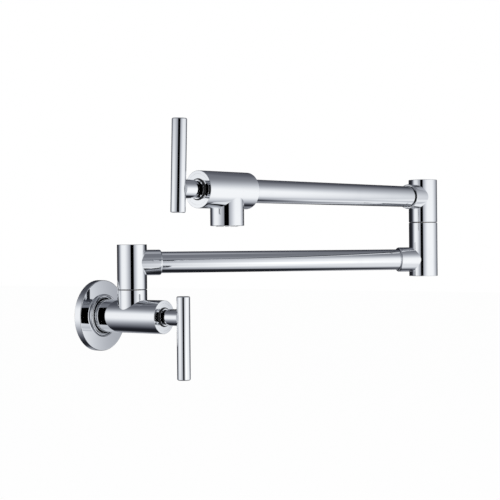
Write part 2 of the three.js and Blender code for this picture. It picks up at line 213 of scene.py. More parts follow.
def turnedBrass():
    material, graph, where = newMaterial("turnedBrass")
    age = graph.ranged(graph.noise(where, *brass["age"]), *brass["ageRange"])
    lines = graph.noise(stretched(graph, where, brass["turning"]), *brass["lines"])
    marks = age * brass["ageRoughness"] + lines * brass["lineRoughness"]
    graph.surface(
        Base_Color=graph.mixed(age, brass["bright"], brass["tarnish"]), Metallic=1.0,
        Roughness=marks + brass["roughness"], Normal=graph.bump(lines, *brass["bump"]),
    )
    return material


steel = {
    "light": (0.62, 0.63, 0.65), "dark": (0.42, 0.43, 0.45), "roughness": 0.2,
    "drawing": (4000, 900, 4000), "grain": (1, 4, 0.6), "grainRoughness": 0.2,
    "stain": (400, 3, 0.5), "stainRange": (0.4, 0.7), "bump": (0.3, 0.00001),
}


def plainSteel():
    material, graph, where = newMaterial("plainSteel")
    grain = graph.noise(stretched(graph, where, steel["drawing"]), *steel["grain"])
    stain = graph.ranged(graph.noise(where, *steel["stain"]), *steel["stainRange"])
    graph.surface(
        Base_Color=graph.mixed(stain, steel["light"], steel["dark"]), Metallic=1.0,
        Roughness=grain * steel["grainRoughness"] + steel["roughness"],
        Normal=graph.bump(grain, *steel["bump"]),
    )
    return material


# painted shade: the stem's brass is coloured near black, as it shows in the shade inside the bonnet; its film
# varies at random
stemShade = {
    "crest": (0.022, 0.022, 0.025), "root": (0.006, 0.006, 0.007), "roughness": 0.12,
    "film": (700, 4, 0.6), "filmRange": (0.4, 0.65), "filmRoughness": 0.25, "bump": (0.4, 0.00003),
}


def shadedStem():
    material, graph, where = newMaterial("shadedStem")
    film = graph.noise(where, *stemShade["film"])
    share = graph.ranged(film, *stemShade["filmRange"])
    graph.surface(
        Base_Color=graph.mixed(share, stemShade["crest"], stemShade["root"]), Metallic=1.0,
        Roughness=film * stemShade["filmRoughness"] + stemShade["roughness"],
        Normal=graph.bump(film, *stemShade["bump"]),
    )
    return material


# black rubber, partly its own colour and partly painted shade: darkened beyond it for the shade of the grooves it
# sits in; the bloom varies at random
rubber = {
    "fresh": (0.014, 0.014, 0.015), "bloomed": (0.034, 0.034, 0.036), "roughness": 0.55,
    "bloom": (300, 5, 0.65), "bloomRange": (0.45, 0.75), "bloomRoughness": 0.2,
    "grain": (6000, 2), "bump": (0.3, 0.00002),
}


def blackRubber():
    material, graph, where = newMaterial("blackRubber")
    bloom = graph.ranged(graph.noise(where, *rubber["bloom"]), *rubber["bloomRange"])
    graph.surface(
        Base_Color=graph.mixed(bloom, rubber["fresh"], rubber["bloomed"]),
        Roughness=bloom * rubber["bloomRoughness"] + rubber["roughness"],
        Normal=graph.bump(graph.noise(where, *rubber["grain"]), *rubber["bump"]),
    )
    return material


ceramic = {
    "glaze": (0.9, 0.89, 0.86), "warm": (0.84, 0.82, 0.77), "roughness": 0.14,
    "cloud": (240, 4, 0.6), "cloudRoughness": 0.12, "grain": (5000, 2), "bump": (0.1, 0.00001),
}


def lappedCeramic():
    material, graph, where = newMaterial("lappedCeramic")
    cloud = graph.noise(where, *ceramic["cloud"])
    graph.surface(
        Base_Color=graph.mixed(cloud, ceramic["glaze"], ceramic["warm"]),
        Roughness=cloud * ceramic["cloudRoughness"] + ceramic["roughness"],
        Normal=graph.bump(graph.noise(where, *ceramic["grain"]), *ceramic["bump"]),
    )
    return material


nylon = {
    "pale": (0.78, 0.79, 0.79), "grey": (0.7, 0.71, 0.72), "roughness": 0.36,
    "moulding": (300, 300, 900), "flow": (1, 4, 0.55), "flowRoughness": 0.2,
    "grain": (3500, 3), "bump": (0.25, 0.00002),
}


def mouldedNylon():
    material, graph, where = newMaterial("mouldedNylon")
    flow = graph.noise(stretched(graph, where, nylon["moulding"]), *nylon["flow"])
    graph.surface(
        Base_Color=graph.mixed(flow, nylon["pale"], nylon["grey"]),
        Roughness=flow * nylon["flowRoughness"] + nylon["roughness"],
        Normal=graph.bump(graph.noise(where, *nylon["grain"]), *nylon["bump"]),
    )
    return material


# painted shade: the swivel washers are coloured near black so that the seam between sleeve and post shows as a
# dark line; the rub is random wear
seamWasherShade = {
    "smooth": (0.018, 0.018, 0.02), "rubbed": (0.045, 0.045, 0.048), "roughness": 0.3,
    "rub": (500, 3, 0.6), "rubRange": (0.45, 0.7), "rubRoughness": 0.25,
    "grain": (4000, 2), "bump": (0.2, 0.00001),
}


def shadedSeamWasher():
    material, graph, where = newMaterial("shadedSeamWasher")
    rub = graph.ranged(graph.noise(where, *seamWasherShade["rub"]), *seamWasherShade["rubRange"])
    graph.surface(
        Base_Color=graph.mixed(rub, seamWasherShade["smooth"], seamWasherShade["rubbed"]),
        Roughness=rub * seamWasherShade["rubRoughness"] + seamWasherShade["roughness"],
        Normal=graph.bump(graph.noise(where, *seamWasherShade["grain"]), *seamWasherShade["bump"]),
    )
    return material


finishes = {
    "chrome": polishedChrome(),
    "brass": turnedBrass(),
    "steel": plainSteel(),
    "rubber": blackRubber(),
    "ceramic": lappedCeramic(),
    "nylon": mouldedNylon(),
}
stemFinish = shadedStem()
washerFinish = shadedSeamWasher()
print("finishes made")


# pieces are turned and fused in millimetres, and settle() brings them to metres
turning = {
    "steps": 144, "bore": 72, "small": 48, "key": 6,
    "soft": 0.3,  # radius of a plain corner
    "arcCuts": 4, "arcShare": 0.45,  # an arc takes at most this share of the line beside it
    "straight": 88,  # half the angle, in degrees, from which a corner is left as it is
    "weld": 1e-4,
    "rodTwist": 0.8, "pocketTwist": 1.7,  # in degrees
}
past = 1  # how far a cutting tool, or a part to be fused, runs past the face it meets
through = 20  # longer than any side hole


# rounds every corner of an outline of (radius, height) points with an arc; a third number
# in a point is that corner's own radius
def rounded(outline, closed, soft):
    points = [Vector(point[:2]) for point in outline]
    radii = [point[2] if len(point) > 2 else soft for point in outline]
    count = len(points)
    result = []
    for index, corner in enumerate(points):
        atEnd = not closed and index in (0, count - 1)
        before = points[index - 1] - corner
        after = points[(index + 1) % count] - corner
        if atEnd or radii[index] == 0:
            result.append(corner)
            continue
        half = before.angle(after) / 2
        if half > math.radians(turning["straight"]):
            result.append(corner)
            continue
        longest = turning["arcShare"] * min(before.length, after.length)
        reach = min(radii[index] / math.tan(half), longest)
        radius = reach * math.tan(half)
        inward = (before.normalized() + after.normalized()).normalized()
        centre = corner + inward * radius / math.sin(half)
        start = corner + before.normalized() * reach - centre
        finish = corner + after.normalized() * reach - centre
        for cut in range(turning["arcCuts"] + 1):
            spoke = start.slerp(finish, cut / turning["arcCuts"]).normalized()
            result.append(centre + spoke * radius)
    return result


# turns an outline about Z: one that starts on the axis is solid, any other closes into a ring
def turned(outline, steps=turning["steps"], soft=turning["soft"]):
    onAxis = outline[0][0] == 0
    points = rounded(outline, not onAxis, soft)
    mesh = bmesh.new()
    corners = [mesh.verts.new((point[0], 0, point[1])) for point in points]
    lines = [mesh.edges.new(pair) for pair in zip(corners, corners[1:])]
    if not onAxis:
        lines.append(mesh.edges.new((corners[-1], corners[0])))
    bmesh.ops.spin(
        mesh, geom=corners + lines, cent=(0, 0, 0), axis=(0, 0, 1), dvec=(0, 0, 0),
        angle=2 * math.pi, steps=steps, use_merge=True, use_duplicate=False,
    )
    bmesh.ops.remove_doubles(mesh, verts=mesh.verts, dist=turning["weld"])
    bmesh.ops.recalc_face_normals(mesh, faces=mesh.faces)
    return mesh


def moved(mesh, matrix):
    bmesh.ops.transform(mesh, matrix=matrix, verts=mesh.verts)
    return mesh


# a tool turned a little about its axis, so that its corners miss the spokes of the flat it cuts;
# where they meet, a cut can fail
def twisted(mesh, angle):
    return moved(mesh, Matrix.Rotation(math.radians(angle), 4, "Z"))


def rod(radius, low, high, steps=turning["bore"], soft=0):
    blank = turned([(0, low), (radius, low), (radius, high), (0, high)], steps, soft)
    return twisted(blank, turning["rodTwist"])


def shifted(mesh, x, y, z):
    return moved(mesh, Matrix.Translation((x, y, z)))


def alongX(mesh):
    return moved(mesh, Matrix.Rotation(math.pi / 2, 4, "Y"))


def alongMinusX(mesh):
    return moved(mesh, Matrix.Rotation(-math.pi / 2, 4, "Y"))


def alongY(mesh):
    return moved(mesh, Matrix.Rotation(-math.pi / 2, 4, "X"))


def alongMinusY(mesh):
    return moved(mesh, Matrix.Rotation(math.pi / 2, 4, "X"))


def looseObject(mesh):
    data = bpy.data.meshes.new("loose")
    mesh.to_mesh(data)
    mesh.free()
    piece = bpy.data.objects.new("loose", data)
    bpy.context.scene.collection.objects.link(piece)
    return piece


def combined(operation, base, tools):
    for tool in tools:
        objects = [looseObject(base), looseObject(tool)]
        modifier = objects[0].modifiers.new("combine", "BOOLEAN")
        modifier.operation = operation
        modifier.solver = "EXACT"
        modifier.object = objects[1]
        base = bmesh.new()
        base.from_object(objects[0], bpy.context.evaluated_depsgraph_get())
        bmesh.ops.remove_doubles(base, verts=base.verts, dist=turning["weld"])
        for item in objects:
            bpy.data.meshes.remove(item.data)
    return base


def fused(base, *others):
    return combined("UNION", base, others)


def carved(base, *tools):
    return combined("DIFFERENCE", base, tools)


# for the normals: the bend of a sharp edge in degrees, how level a flat end and how upright a round
# wall has to be, and in mm the least radius of a round wall and how much its radius may vary
shading = {"sharp": 30, "flat": 0.99999, "upright": 0.01, "least": 1, "vary": 0.01}


# a copy of the mesh whose large faces lead the shading, so that flats stay flat up to their edges
def evenlyShaded(data):
    piece = bpy.data.objects.new("loose", data)
    bpy.context.scene.collection.objects.link(piece)
    modifier = piece.modifiers.new("even", "WEIGHTED_NORMAL")
    modifier.weight = 100
    modifier.keep_sharp = True
    evaluated = piece.evaluated_get(bpy.context.evaluated_depsgraph_get())
    shaded = bpy.data.meshes.new_from_object(evaluated)
    bpy.data.meshes.remove(data)
    return shaded


# gives each corner of a round or flat wall the exact normal of its cylinder or end, so that
# reflections run true
def trueNormals(data, axes):
    normals = [Vector(normal.vector) for normal in data.corner_normals]
    for face in data.polygons:
        for origin, direction in axes:
            slope = abs(face.normal.dot(direction))
            if slope > shading["flat"]:
                for loop in face.loop_indices:
                    normals[loop] = face.normal.copy()
                break
            spokes = [data.vertices[index].co - origin for index in face.vertices]
            spokes = [spoke - direction * spoke.dot(direction) for spoke in spokes]
            lengths = [spoke.length for spoke in spokes]
            if slope > shading["upright"] or min(lengths) < shading["least"] * mm:
                continue
            if max(lengths) - min(lengths) > shading["vary"] * mm:
                continue
            side = 1 if face.normal.dot(spokes[0]) > 0 else -1
            for loop, spoke in zip(face.loop_indices, spokes):
                normals[loop] = side * spoke.normalized()
            break
    data.normals_split_custom_set(normals)


# the lines about which round walls are turned, each a point in mm and a direction
axisX = ((0, 0, 0), (1, 0, 0))
axisZ = ((0, 0, 0), (0, 0, 1))


# puts a finished millimetre mesh in its place as a named piece that rides on a body
def settle(mesh, name, place, body, slot, nodes, axes=(axisZ,), material=None):
    moved(mesh, place @ Matrix.Scale(mm, 4))
    for face in mesh.faces:
        face.smooth = True
    for line in mesh.edges:
        line.smooth = line.is_manifold and line.calc_face_angle(0) < math.radians(shading["sharp"])
    data = bpy.data.meshes.new(name)
    mesh.to_mesh(data)
    mesh.free()
    data = evenlyShaded(data)
    data.name = name
    data.materials.append(material or finishes[slot])
    turn = place.to_3x3()
    placed = [(place @ (Vector(origin) * mm), turn @ Vector(along)) for origin, along in axes]
    trueNormals(data, placed)
    piece = bpy.data.objects.new(name, data)
    bpy.context.scene.collection.objects.link(piece)
    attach(piece, body)
    if nodes:
        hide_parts(*nodes)
    return piece


# a frame whose +Z is outward and whose +Y is up
def facing(origin, outward):
    outward = Vector(outward).normalized()
    side = up.cross(outward)
    return Matrix.Translation(origin) @ Matrix((side, up, outward)).transposed().to_4x4()


# a frame whose +X runs level along an arm and whose +Z is up
def level(origin, ahead):
    ahead = Vector((ahead[0], ahead[1], 0)).normalized()
    return Matrix.Translation(origin) @ Matrix((ahead, up.cross(ahead), up)).transposed().to_4x4()


# places, all read from the frame
basePost = Vector(joints["base_swivel"]["pos_m"])
elbowPost = Vector(joints["elbow_swivel"]["pos_m"])
outletMiddle = middle("aerator_shell")
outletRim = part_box("spout_head")[0].z
lowerLevel = middle("lower_arm_tube").z
upperLevel = middle("upper_arm_tube").z
lowerAhead = elbowPost - basePost
upperAhead = outletMiddle - elbowPost
lowerLength = math.hypot(lowerAhead.x, lowerAhead.y) / mm
upperLength = math.hypot(upperAhead.x, upperAhead.y) / mm
wallFrame = facing((0, 0, 0), (0, -1, 0))
armRise = (lowerLevel - basePost.z) / mm
aboveArm = (elbowPost.z - lowerLevel) / mm
spoutFrame = level((outletMiddle.x, outletMiddle.y, upperLevel), upperAhead)
valveFrames = {
    "base": facing(joints["base_lever_turn"]["pos_m"], joints["base_lever_turn"]["axis"]),
    "spout": facing(joints["spout_lever_turn"]["pos_m"], joints["spout_lever_turn"]["axis"]),
}
bodies = {"base": ("wall_body", "base_lever"), "spout": ("upper_arm", "spout_lever")}

# the round body that both valves share, with the pocket for the cartridge
valve = {
    "radius": 13.9, "edge": 0.3, "pocket": 11.5, "pocketDepth": 9.6, "chamber": 10.2, "seat": 40,
    "way": 6.5, "riser": 6,
}

# the wall flange has two turned beads round the valve body, with a fine groove between them and
# a sunk rubber ring inside them; each bead is its outer radius, inner radius and rise
flange = {
    "radius": 30, "depth": 6.4, "face": 2.2, "rim": 2.7, "hub": 18.3, "bore": 14.05, "back": 1,
    "edge": 0.6, "fillet": 0.8, "steps": 192, "beads": [(18.3, 16.3, 2.2), (15.7, 14.8, 1.7)],
    "beadSteps": 12, "groove": 1.3, "ringHeight": 0.9, "ringGap": 0.05, "ringEdge": 0.3,
}


def beadOutline(outer, inner, rise):
    steps = flange["beadSteps"]
    angles = [math.pi * step / steps for step in range(steps + 1)]
    radii = [(outer + inner) / 2 + (outer - inner) / 2 * math.cos(angle) for angle in angles]
    return [
        (radius, flange["depth"] + rise * math.sin(angle), 0) for radius, angle in zip(radii, angles)
    ]


def addFlange():
    depth, back, fillet = flange["depth"], flange["back"], flange["fillet"]
    wide, narrow = flange["beads"]
    inside = flange["radius"] - flange["rim"]
    under = depth - flange["face"]
    sunk = depth - flange["groove"]
    outline = [
        (flange["bore"], back), (flange["hub"], back), (flange["hub"], under, fillet),
        (inside, under, fillet), (inside, 0), (flange["radius"], 0),
        (flange["radius"], depth, flange["edge"]),
        *beadOutline(*wide), (wide[1], sunk, 0), (narrow[0], sunk, 0),
        *beadOutline(*narrow), (narrow[1], sunk, 0), (flange["bore"], sunk, 0),
    ]
    disc = turned(outline, flange["steps"])
    settle(disc, "wallFlange", wallFrame, "wall_body", "chrome", ["wall_flange"])
    gap, edge = flange["ringGap"], flange["ringEdge"]
    low, high = sunk + gap, sunk + flange["ringHeight"]
    inner, outer = valve["radius"] + gap, narrow[1] - gap
    ring = turned([(inner, low), (outer, low), (outer, high, edge), (inner, high, edge)])
    settle(ring, "flangeLip", wallFrame, "wall_body", "rubber", [])


nipple = {
    "crest": 10.3, "root": 9.35, "bore": 6.5, "pitch": 1.814, "inWall": 18, "inBody": 14.7,
    "flanks": (0.1, 0.48, 0.6),  # where a tooth starts, is full and ends, in parts of the pitch
    "spare": 1.5,  # teeth cut off at each end
    "steps": 64,
}


def addNipple():
    # a run of thread teeth is spun once round while it climbs one pitch, and its ends are cut square
    root, crest, pitch, steps = nipple["root"], nipple["crest"], nipple["pitch"], nipple["steps"]
    start, full, end = nipple["flanks"]
    length = nipple["inWall"] + nipple["inBody"]
    mesh = bmesh.new()
    points = []
    for tooth in range(math.ceil(length / pitch + 2 * nipple["spare"])):
        low = tooth * pitch
        points += [(root, low), (root, low + start * pitch)]
        points += [(crest, low + full * pitch), (crest, low + end * pitch)]
    corners = [mesh.verts.new((radius, 0, height)) for radius, height in points]
    lines = [mesh.edges.new(pair) for pair in zip(corners, corners[1:])]
    bmesh.ops.spin(
        mesh, geom=corners + lines, cent=(0, 0, 0), axis=(0, 0, 1), dvec=(0, 0, pitch / steps),
        angle=2 * math.pi, steps=steps, use_merge=False, use_duplicate=False,
    )
    bmesh.ops.remove_doubles(mesh, verts=mesh.verts, dist=turning["weld"])
    low = nipple["spare"] * pitch
    for height, normal in ((low, (0, 0, -1)), (low + length, (0, 0, 1))):
        geometry = mesh.verts[:] + mesh.edges[:] + mesh.faces[:]
        cut = bmesh.ops.bisect_plane(
            mesh, geom=geometry, plane_co=(0, 0, height), plane_no=normal, clear_outer=True,
        )
        rim = [item for item in cut["geom_cut"] if isinstance(item, bmesh.types.BMEdge)]
        bmesh.ops.contextual_create(mesh, geom=rim)
    bmesh.ops.recalc_face_normals(mesh, faces=mesh.faces)
    shifted(mesh, 0, 0, -low - nipple["inWall"])
    shape = carved(mesh, rod(nipple["bore"], -nipple["inWall"] - past, nipple["inBody"] + past))
    settle(shape, "inletNipple", wallFrame, "wall_body", "brass", ["inlet_nipple"])


addFlange()
addNipple()
print("flange and nipple made")

# a body's rings are spare rows of points in its long wall, which keep the facets even near a joint
wallBody = {
    "back": 1, "face": 71.3, "edge": 0.3, "rings": (20, 56), "thread": 14, "threadGap": 0.3,
    "post": 37.8, "postRadius": 12.48, "postEdge": 0.35, "seam": 22.2,
}
spigotHole = {"radius": 8.8, "depth": 7.3}


def cartridgePocket():
    chamber, pocket, seat, floor = valve["chamber"], valve["pocket"], valve["seat"], valve["pocketDepth"]
    return twisted(turned([
        (0, -seat), (chamber, -seat), (chamber, -floor), (pocket, -floor), (pocket, past), (0, past),
    ], turning["steps"], 0), turning["pocketTwist"])


def addWallBody():
    back, face, seam, post = wallBody["back"], wallBody["face"], wallBody["seam"], wallBody["post"]
    radius, postRadius, thread = valve["radius"], wallBody["postRadius"], wallBody["thread"]
    rings = [(radius, height, 0) for height in wallBody["rings"]]
    barrel = turned([
        (0, back), (radius, back, wallBody["edge"]), *rings, (radius, face, valve["edge"]), (0, face),
    ])
    stub = turned([(0, 0), (postRadius, 0), (postRadius, seam, wallBody["postEdge"]), (0, seam)])
    shape = fused(barrel, shifted(alongY(stub), 0, 0, post))
    spigotWay = rod(spigotHole["radius"], seam - spigotHole["depth"], seam + past)
    shape = carved(
        shape,
        rod(nipple["crest"] + wallBody["threadGap"], 0, back + thread),
        rod(valve["way"], thread, face - valve["seat"] + past),
        shifted(cartridgePocket(), 0, 0, face),
        shifted(alongY(rod(valve["riser"], 0, seam)), 0, 0, post),
        shifted(alongY(spigotWay), 0, 0, post),
    )
    axes = [axisZ, ((0, 0, post), (0, 1, 0))]
    settle(shape, "baseValveBody", wallFrame, "wall_body", "chrome", ["base_valve_body"], axes)


# both arm tubes go as deep as their stop into a socket that is a little wider
tube = {
    "radius": 9, "bore": 7.5, "stop": 14, "slack": 0.06, "endGap": 0.3,
    "groove": 1.7, "grooveWide": 0.8, "grooveDeep": 0.6, "grooveEdge": 0.1,
}
head = {
    "front": 30.3, "back": 21.1, "edge": 0.35, "rings": (-15, 15), "tubeSeat": 9.3,
    "drop": 26.7, "outlet": 12.7, "outletEdge": 0.4, "pocket": 11.3, "pocketDepth": 11.2,
}


def addSpoutHead():
    front, back, drop = head["front"], head["back"], head["drop"]
    radius, outletRadius = valve["radius"], head["outlet"]
    rings = [(radius, height, 0) for height in head["rings"]]
    barrel = turned([
        (0, -back), (radius, -back, head["edge"]), *rings, (radius, front, valve["edge"]), (0, front),
    ])
    outlet = turned([
        (0, -drop), (outletRadius, -drop, head["outletEdge"]), (outletRadius, 0), (0, 0),
    ])
    shape = carved(
        fused(alongX(barrel), outlet),
        alongX(rod(tube["radius"] + tube["slack"], -back - past, head["tubeSeat"] - back)),
        alongX(rod(valve["way"], head["tubeSeat"] - back - past, front - valve["seat"] + past)),
        shifted(alongX(cartridgePocket()), front, 0, 0),
        rod(valve["riser"], -drop, 0),
        rod(head["pocket"], -drop - past, head["pocketDepth"] - drop, turning["steps"]),
    )
    settle(shape, "spoutHead", spoutFrame, "upper_arm", "chrome", ["spout_head"], [axisX, axisZ])


collar = {
    "radius": 10.7, "ring": 15, "reach": 24.4, "nose": 1.3, "mouth": 9.36, "mouthDepth": 0.8,
    "upperReach": 22.4, "upperNose": 0.75,
}


def collarSolid(reach, nose):
    radius = collar["radius"]
    return turned([(0, 0), (radius, 0), (radius, collar["ring"], 0), (radius, reach, nose), (0, reach)])


# the way for a tube opens a little at the collar's mouth, which draws a dark line round the tube
def tubeWay(reach):
    bore, socket, floor = tube["bore"], tube["radius"] + tube["slack"], tube["stop"] - tube["endGap"]
    mouth, depth = collar["mouth"], collar["mouthDepth"]
    return twisted(turned([
        (0, 0), (bore, 0), (bore, floor), (socket, floor), (socket, reach - depth), (mouth, reach),
        (mouth, reach + past), (0, reach + past),
    ], turning["steps"], 0), turning["pocketTwist"])


sleeve = {
    "lift": 0.48, "ring": 8, "crown": 15.2, "roof": 5.5, "bore": 8.8, "radius": 12.48, "edge": 0.35,
}
screw = {
    "radius": 2, "end": 12.2, "edge": 0.3, "tip": 1.1, "tipStart": 7.6, "soft": 0.1, "shoulder": 9.2,
    "shoulderEdge": 0.2, "height": 4.6, "slack": 0.15, "key": 1.1, "keyDepth": 1.6,
}


def addSleeve(name, place, body, node, reach=collar["reach"], nose=collar["nose"]):
    radius, lift, edge, top = sleeve["radius"], sleeve["lift"], sleeve["edge"], armRise + sleeve["crown"]
    outside = turned([
        (0, lift), (radius, lift, edge), (radius, sleeve["ring"], 0), (radius, top, edge), (0, top),
    ])
    screwWay = rod(screw["radius"] + screw["slack"], 0, through, turning["small"])
    shape = carved(
        fused(outside, shifted(alongX(collarSolid(reach, nose)), 0, 0, armRise)),
        rod(sleeve["bore"], 0, top - sleeve["roof"]),
        shifted(alongX(tubeWay(reach)), 0, 0, armRise),
        shifted(alongMinusX(screwWay), 0, 0, screw["height"]),
    )
    axes = [axisZ, ((0, 0, armRise), (1, 0, 0))]
    settle(shape, name, place, body, "chrome", [node], axes)


def addSleeveScrew(name, place, body, node):
    radius, tip, end, shoulder = screw["radius"], screw["tip"], screw["end"], screw["shoulder"]
    blank = turned([
        (0, screw["tipStart"]), (tip, screw["tipStart"]), (tip, shoulder),
        (radius, shoulder, screw["shoulderEdge"]), (radius, end, screw["edge"]), (0, end),
    ], turning["small"], screw["soft"])
    key = rod(screw["key"], end - screw["keyDepth"], end + past, turning["key"])
    shape = shifted(alongMinusX(carved(blank, key)), 0, 0, screw["height"])
    settle(shape, name, place, body, "steel", [node])


lowerPost = {"belowArm": 14.7, "edge": 0.4, "rings": (-12, 14), "floor": 6.7}


def addElbowPost(place):
    below, above, radius = lowerPost["belowArm"], aboveArm, sleeve["radius"]
    rings = [(radius, height, 0) for height in lowerPost["rings"]]
    post = turned([
        (0, -below), (radius, -below, lowerPost["edge"]), *rings, (radius, above, sleeve["edge"]),
        (0, above),
    ])
    shape = carved(
        fused(post, alongMinusX(collarSolid(collar["reach"], collar["nose"]))),
        rod(tube["bore"], lowerPost["floor"] - below, above + past),
        rod(spigotHole["radius"], above - spigotHole["depth"], above + past),
        alongMinusX(tubeWay(collar["reach"])),
    )
    node = "elbow_lower_post"
    settle(shape, "elbowLowerPost", place, "lower_arm", "chrome", [node], [axisZ, axisX])


# a fine groove sets off the last bit of a tube from the rest
def addTube(name, place, body, node, low, high, groove=None):
    bore, radius = tube["bore"], tube["radius"]
    outline = [(bore, low), (radius, low)]
    if groove:
        edge, half, floor = tube["grooveEdge"], tube["grooveWide"] / 2, radius - tube["grooveDeep"]
        outline += [(radius, groove - half, edge), (floor, groove - half, 0)]
        outline += [(floor, groove + half, 0), (radius, groove + half, edge)]
    outline += [(radius, high), (bore, high)]
    settle(alongX(turned(outline)), name, place, body, "chrome", [node], [axisX])


addWallBody()
addSpoutHead()
print("valve bodies made")

lowerFrame = level(basePost, lowerAhead)
lowerAxisFrame = level((basePost.x, basePost.y, lowerLevel), lowerAhead)
upperFrame = level(elbowPost, upperAhead)
upperAxisFrame = level((elbowPost.x, elbowPost.y, upperLevel), upperAhead)
addSleeve("baseSleeve", lowerFrame, "lower_arm", "base_swivel_sleeve")
upperReach, upperNose = collar["upperReach"], collar["upperNose"]
addSleeve("elbowSleeve", upperFrame, "upper_arm", "elbow_swivel_sleeve", upperReach, upperNose)
addSleeveScrew("baseSleeveScrew", lowerFrame, "lower_arm", "base_sleeve_screw")
addSleeveScrew("elbowSleeveScrew", upperFrame, "upper_arm", "elbow_sleeve_screw")
addElbowPost(level((elbowPost.x, elbowPost.y, lowerLevel), lowerAhead))
start, lowerEnd = tube["stop"], lowerLength - tube["stop"]
upperEnd = upperLength - head["back"] + head["tubeSeat"] - tube["endGap"]
upperGroove = upperLength - head["back"] - tube["groove"]
addTube("lowerTube", lowerAxisFrame, "lower_arm", "lower_arm_tube", start, lowerEnd)
addTube("upperTube", upperAxisFrame, "upper_arm", "upper_arm_tube", start, upperEnd, upperGroove)
print("arms made")

bonnet = {
    "bore": 5.6, "low": -7, "floor": -3.2, "outer": 11.48, "outerEdge": 0.05, "groove": 8.05,
    "grooveFloor": -1.4, "nose": 7.15, "noseBore": 6.15, "noseHeight": 1.3, "edge": 0.1,
}


def addBonnet(name, place, body):
    bore, low, floor, sunk = bonnet["bore"], bonnet["low"], bonnet["floor"], bonnet["grooveFloor"]
    outer, groove, nose, noseBore = bonnet["outer"], bonnet["groove"], bonnet["nose"], bonnet["noseBore"]
    height, edge = bonnet["noseHeight"], bonnet["edge"]
    outline = [
        (bore, low), (outer, low), (outer, 0, bonnet["outerEdge"]), (groove, 0, edge), (groove, sunk),
        (nose, sunk), (nose, height, edge), (noseBore, height, edge), (noseBore, floor), (bore, floor),
    ]
    settle(turned(outline), name + "Bonnet", place, body, "chrome", [name + "_bonnet_ring"])


wiper = {
    "gap": 0.05, "ringGap": 0.04, "ringTop": 0.75, "ringEdge": 0.3,
    "neck": 5.25, "lipHeight": 1.6, "lipFall": 0.5, "lipEdge": 0.2,
}


# the rubber in the bonnet: a ring in its groove, and a lip that closes the bore round the neck of
# the cartridge
def addWiper(name, place, body):
    low, high, edge = bonnet["grooveFloor"] + wiper["gap"], wiper["ringTop"], wiper["ringEdge"]
    inner, outer = bonnet["nose"] + wiper["ringGap"], bonnet["groove"] - wiper["ringGap"]
    ring = turned([(inner, low), (outer, low), (outer, high, edge), (inner, high, edge)])
    low, high = bonnet["floor"] + wiper["gap"], bonnet["floor"] + wiper["lipHeight"]
    inner, outer, edge = wiper["neck"], bonnet["noseBore"] - wiper["gap"], wiper["lipEdge"]
    lip = turned([
        (inner, low), (outer, low), (outer, high, edge), (inner, high - wiper["lipFall"], edge),
    ])
    settle(fused(ring, lip), name + "Wiper", place, body, "rubber", [])


stem = {
    "radius": 4, "reach": 13, "low": -6, "teeth": 20, "toothDepth": 0.45,
    "spindle": 3.4, "foot": -24, "footEdge": 0.2,
}


def addStem(name, place, body):
    # a splined shaft: every other pair of rim points is pulled in, then the section is drawn out
    mesh = bmesh.new()
    radius, low, count = stem["radius"], stem["low"], stem["teeth"] * 4
    rim = bmesh.ops.create_circle(mesh, cap_ends=True, radius=radius, segments=count)["verts"]
    for index, corner in enumerate(rim):
        if index % 4 > 1:
            corner.co *= 1 - stem["toothDepth"] / radius
    drawn = bmesh.ops.extrude_face_region(mesh, geom=mesh.faces[:])["geom"]
    tops = [item for item in drawn if isinstance(item, bmesh.types.BMVert)]
    bmesh.ops.translate(mesh, verts=tops, vec=(0, 0, stem["reach"] - low))
    bmesh.ops.recalc_face_normals(mesh, faces=mesh.faces)
    shifted(mesh, 0, 0, low)
    spindle = rod(stem["spindle"], stem["foot"], low + past, turning["small"], stem["footEdge"])
    shape = fused(mesh, spindle)
    settle(shape, name + "Stem", place, body, "brass", [name + "_valve_stem"], material=stemFinish)


bar = {
    "radius": 5.53, "length": 68.3, "shortEnd": 17.4, "stand": 19.5, "ring": 8, "pegGap": 0.3,
    "chamfer": 0.6, "endEdge": 0.2, "sideEdge": 0.25,
}
grub = {
    "radius": 1.5, "height": 8.5, "low": 3.7, "high": 6.7, "edge": 0.15, "key": 0.8, "keyDepth": 1.2,
    "slack": 0.1,
}
hub = {
    "radius": 6.85, "start": 4.7, "startEdge": 0.15, "end": 17.3, "endEdge": 0.3, "bore": 4.15,
    "boreEnd": 13.4, "hollow": 6.4, "hollowEnd": 6.8, "peg": 2.8, "pegEnd": 17.4, "saddleGap": 0.05,
}


# the hub ends in a saddle that takes the bar, and its peg goes into the bar
def addHub(name, place, body):
    radius, start, end = hub["radius"], hub["start"], hub["end"]
    outside = turned([
        (0, start), (radius, start, hub["startEdge"]), (radius, end, hub["endEdge"]), (0, end),
    ])
    saddle = alongY(rod(bar["radius"] + hub["saddleGap"], -through, through, turning["steps"]))
    outside = carved(outside, shifted(saddle, 0, 0, bar["stand"]))
    grubWay = rod(grub["radius"] + grub["slack"], 0, through, turning["small"])
    shape = carved(
        fused(outside, rod(hub["peg"], hub["boreEnd"], hub["pegEnd"])),
        rod(hub["bore"], 0, hub["boreEnd"]),
        rod(hub["hollow"], 0, hub["hollowEnd"]),
        shifted(alongMinusY(grubWay), 0, 0, grub["height"]),
    )
    axes = [axisZ, ((0, 0, bar["stand"]), (0, 1, 0))]
    settle(shape, name + "Hub", place, body, "chrome", [name + "_handle_hub"], axes)


